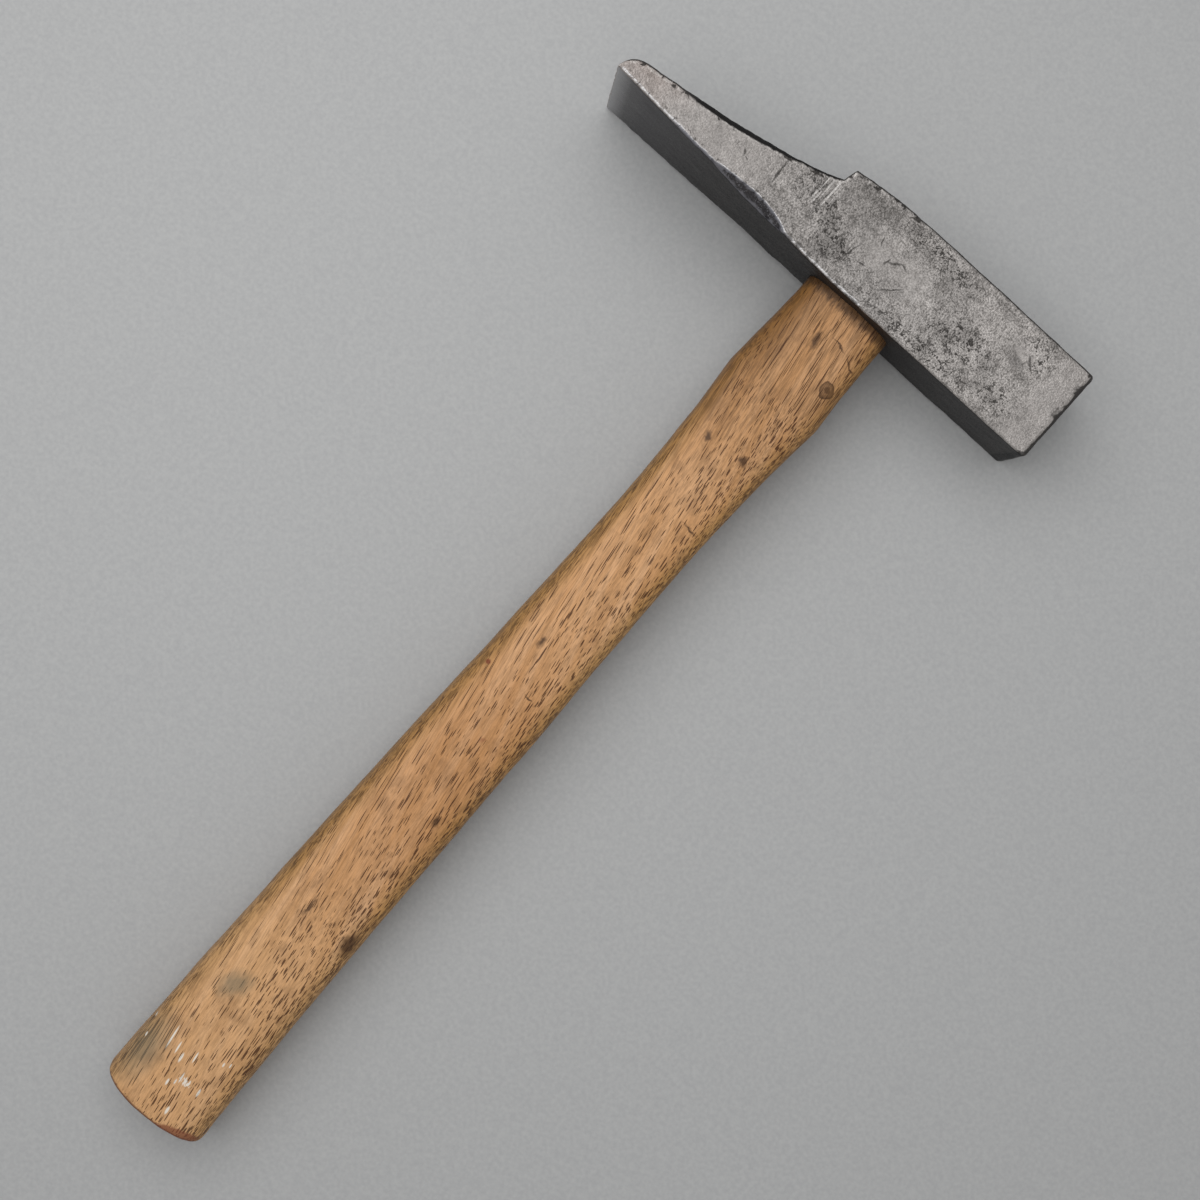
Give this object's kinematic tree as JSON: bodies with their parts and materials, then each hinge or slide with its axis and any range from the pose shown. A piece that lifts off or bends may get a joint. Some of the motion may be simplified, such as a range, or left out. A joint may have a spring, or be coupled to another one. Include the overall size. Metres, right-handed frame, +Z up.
{
  "type": "veneer hammer",
  "caption": "Hand-forged veneer hammer with a square striking face, a broad flared cross peen and a wedged oval hardwood handle, lying on its side.",
  "frame": {"origin": "centre of the square striking face; the hammer lies on its side, as in use on a bench, and touches a level bench at three points: the peen's lower corner, the lower edge of the striking face and the butt", "axes": "+Z is up from the bench. Seen from above, +X is straight out of the striking face and +Y is up the handle from the butt to the head. The hammer's own axes are turned from these by its rest on the bench: its cheeks lean 4.4 degrees about Y and 1.7 degrees about X"},
  "size_m": [0.1516, 0.3203, 0.0522],
  "materials": {
    "forged_steel": "worn grey forged steel, pitted and darkened, dull",
    "handle_wood": "used orange-brown hardwood, worn smooth, with dark pores",
    "wedge_wood": "cut end grain, dark and dirty",
    "wedge_steel": "plain dull steel"
  },
  "bodies": {
    "root": {"head": "forged_steel", "handle": "handle_wood", "wooden_wedge": "wedge_wood", "steel_wedge": "wedge_steel"}
  },
  "joints": []
}
